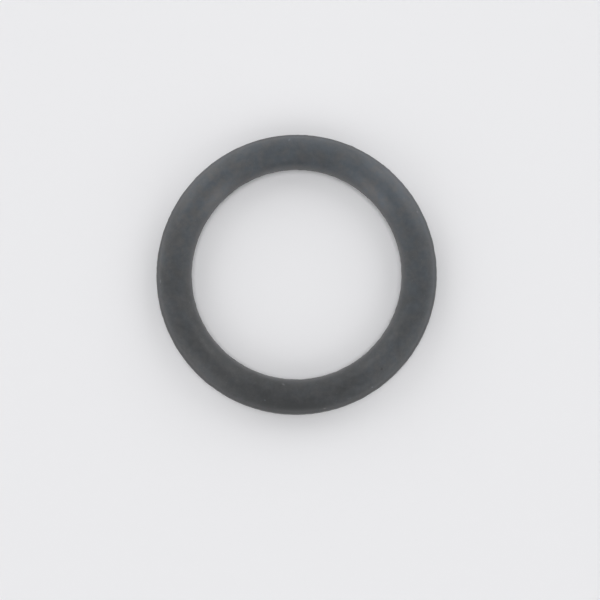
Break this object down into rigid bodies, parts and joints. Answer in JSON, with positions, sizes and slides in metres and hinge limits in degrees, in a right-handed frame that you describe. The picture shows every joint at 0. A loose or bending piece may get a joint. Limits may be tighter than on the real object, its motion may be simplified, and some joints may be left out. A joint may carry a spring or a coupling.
{
  "type": "bypass gasket",
  "caption": "Black rubber O-ring gasket of round section, which seals the joint of a bypass pipe or its cover when it is squeezed in its groove.",
  "frame": {"origin": "centre of the ring, on its axis, halfway up its round section, on the plane where the two halves of its mould met", "axes": "+Z along the ring's axis, upwards as it lies flat; X and Y lie in the mould's parting plane and are alike, because the ring is turned"},
  "size_m": [0.0242, 0.0242, 0.003],
  "materials": {
    "black_rubber": "matte"
  },
  "bodies": {
    "root": {"o_ring": "black_rubber"}
  },
  "joints": []
}
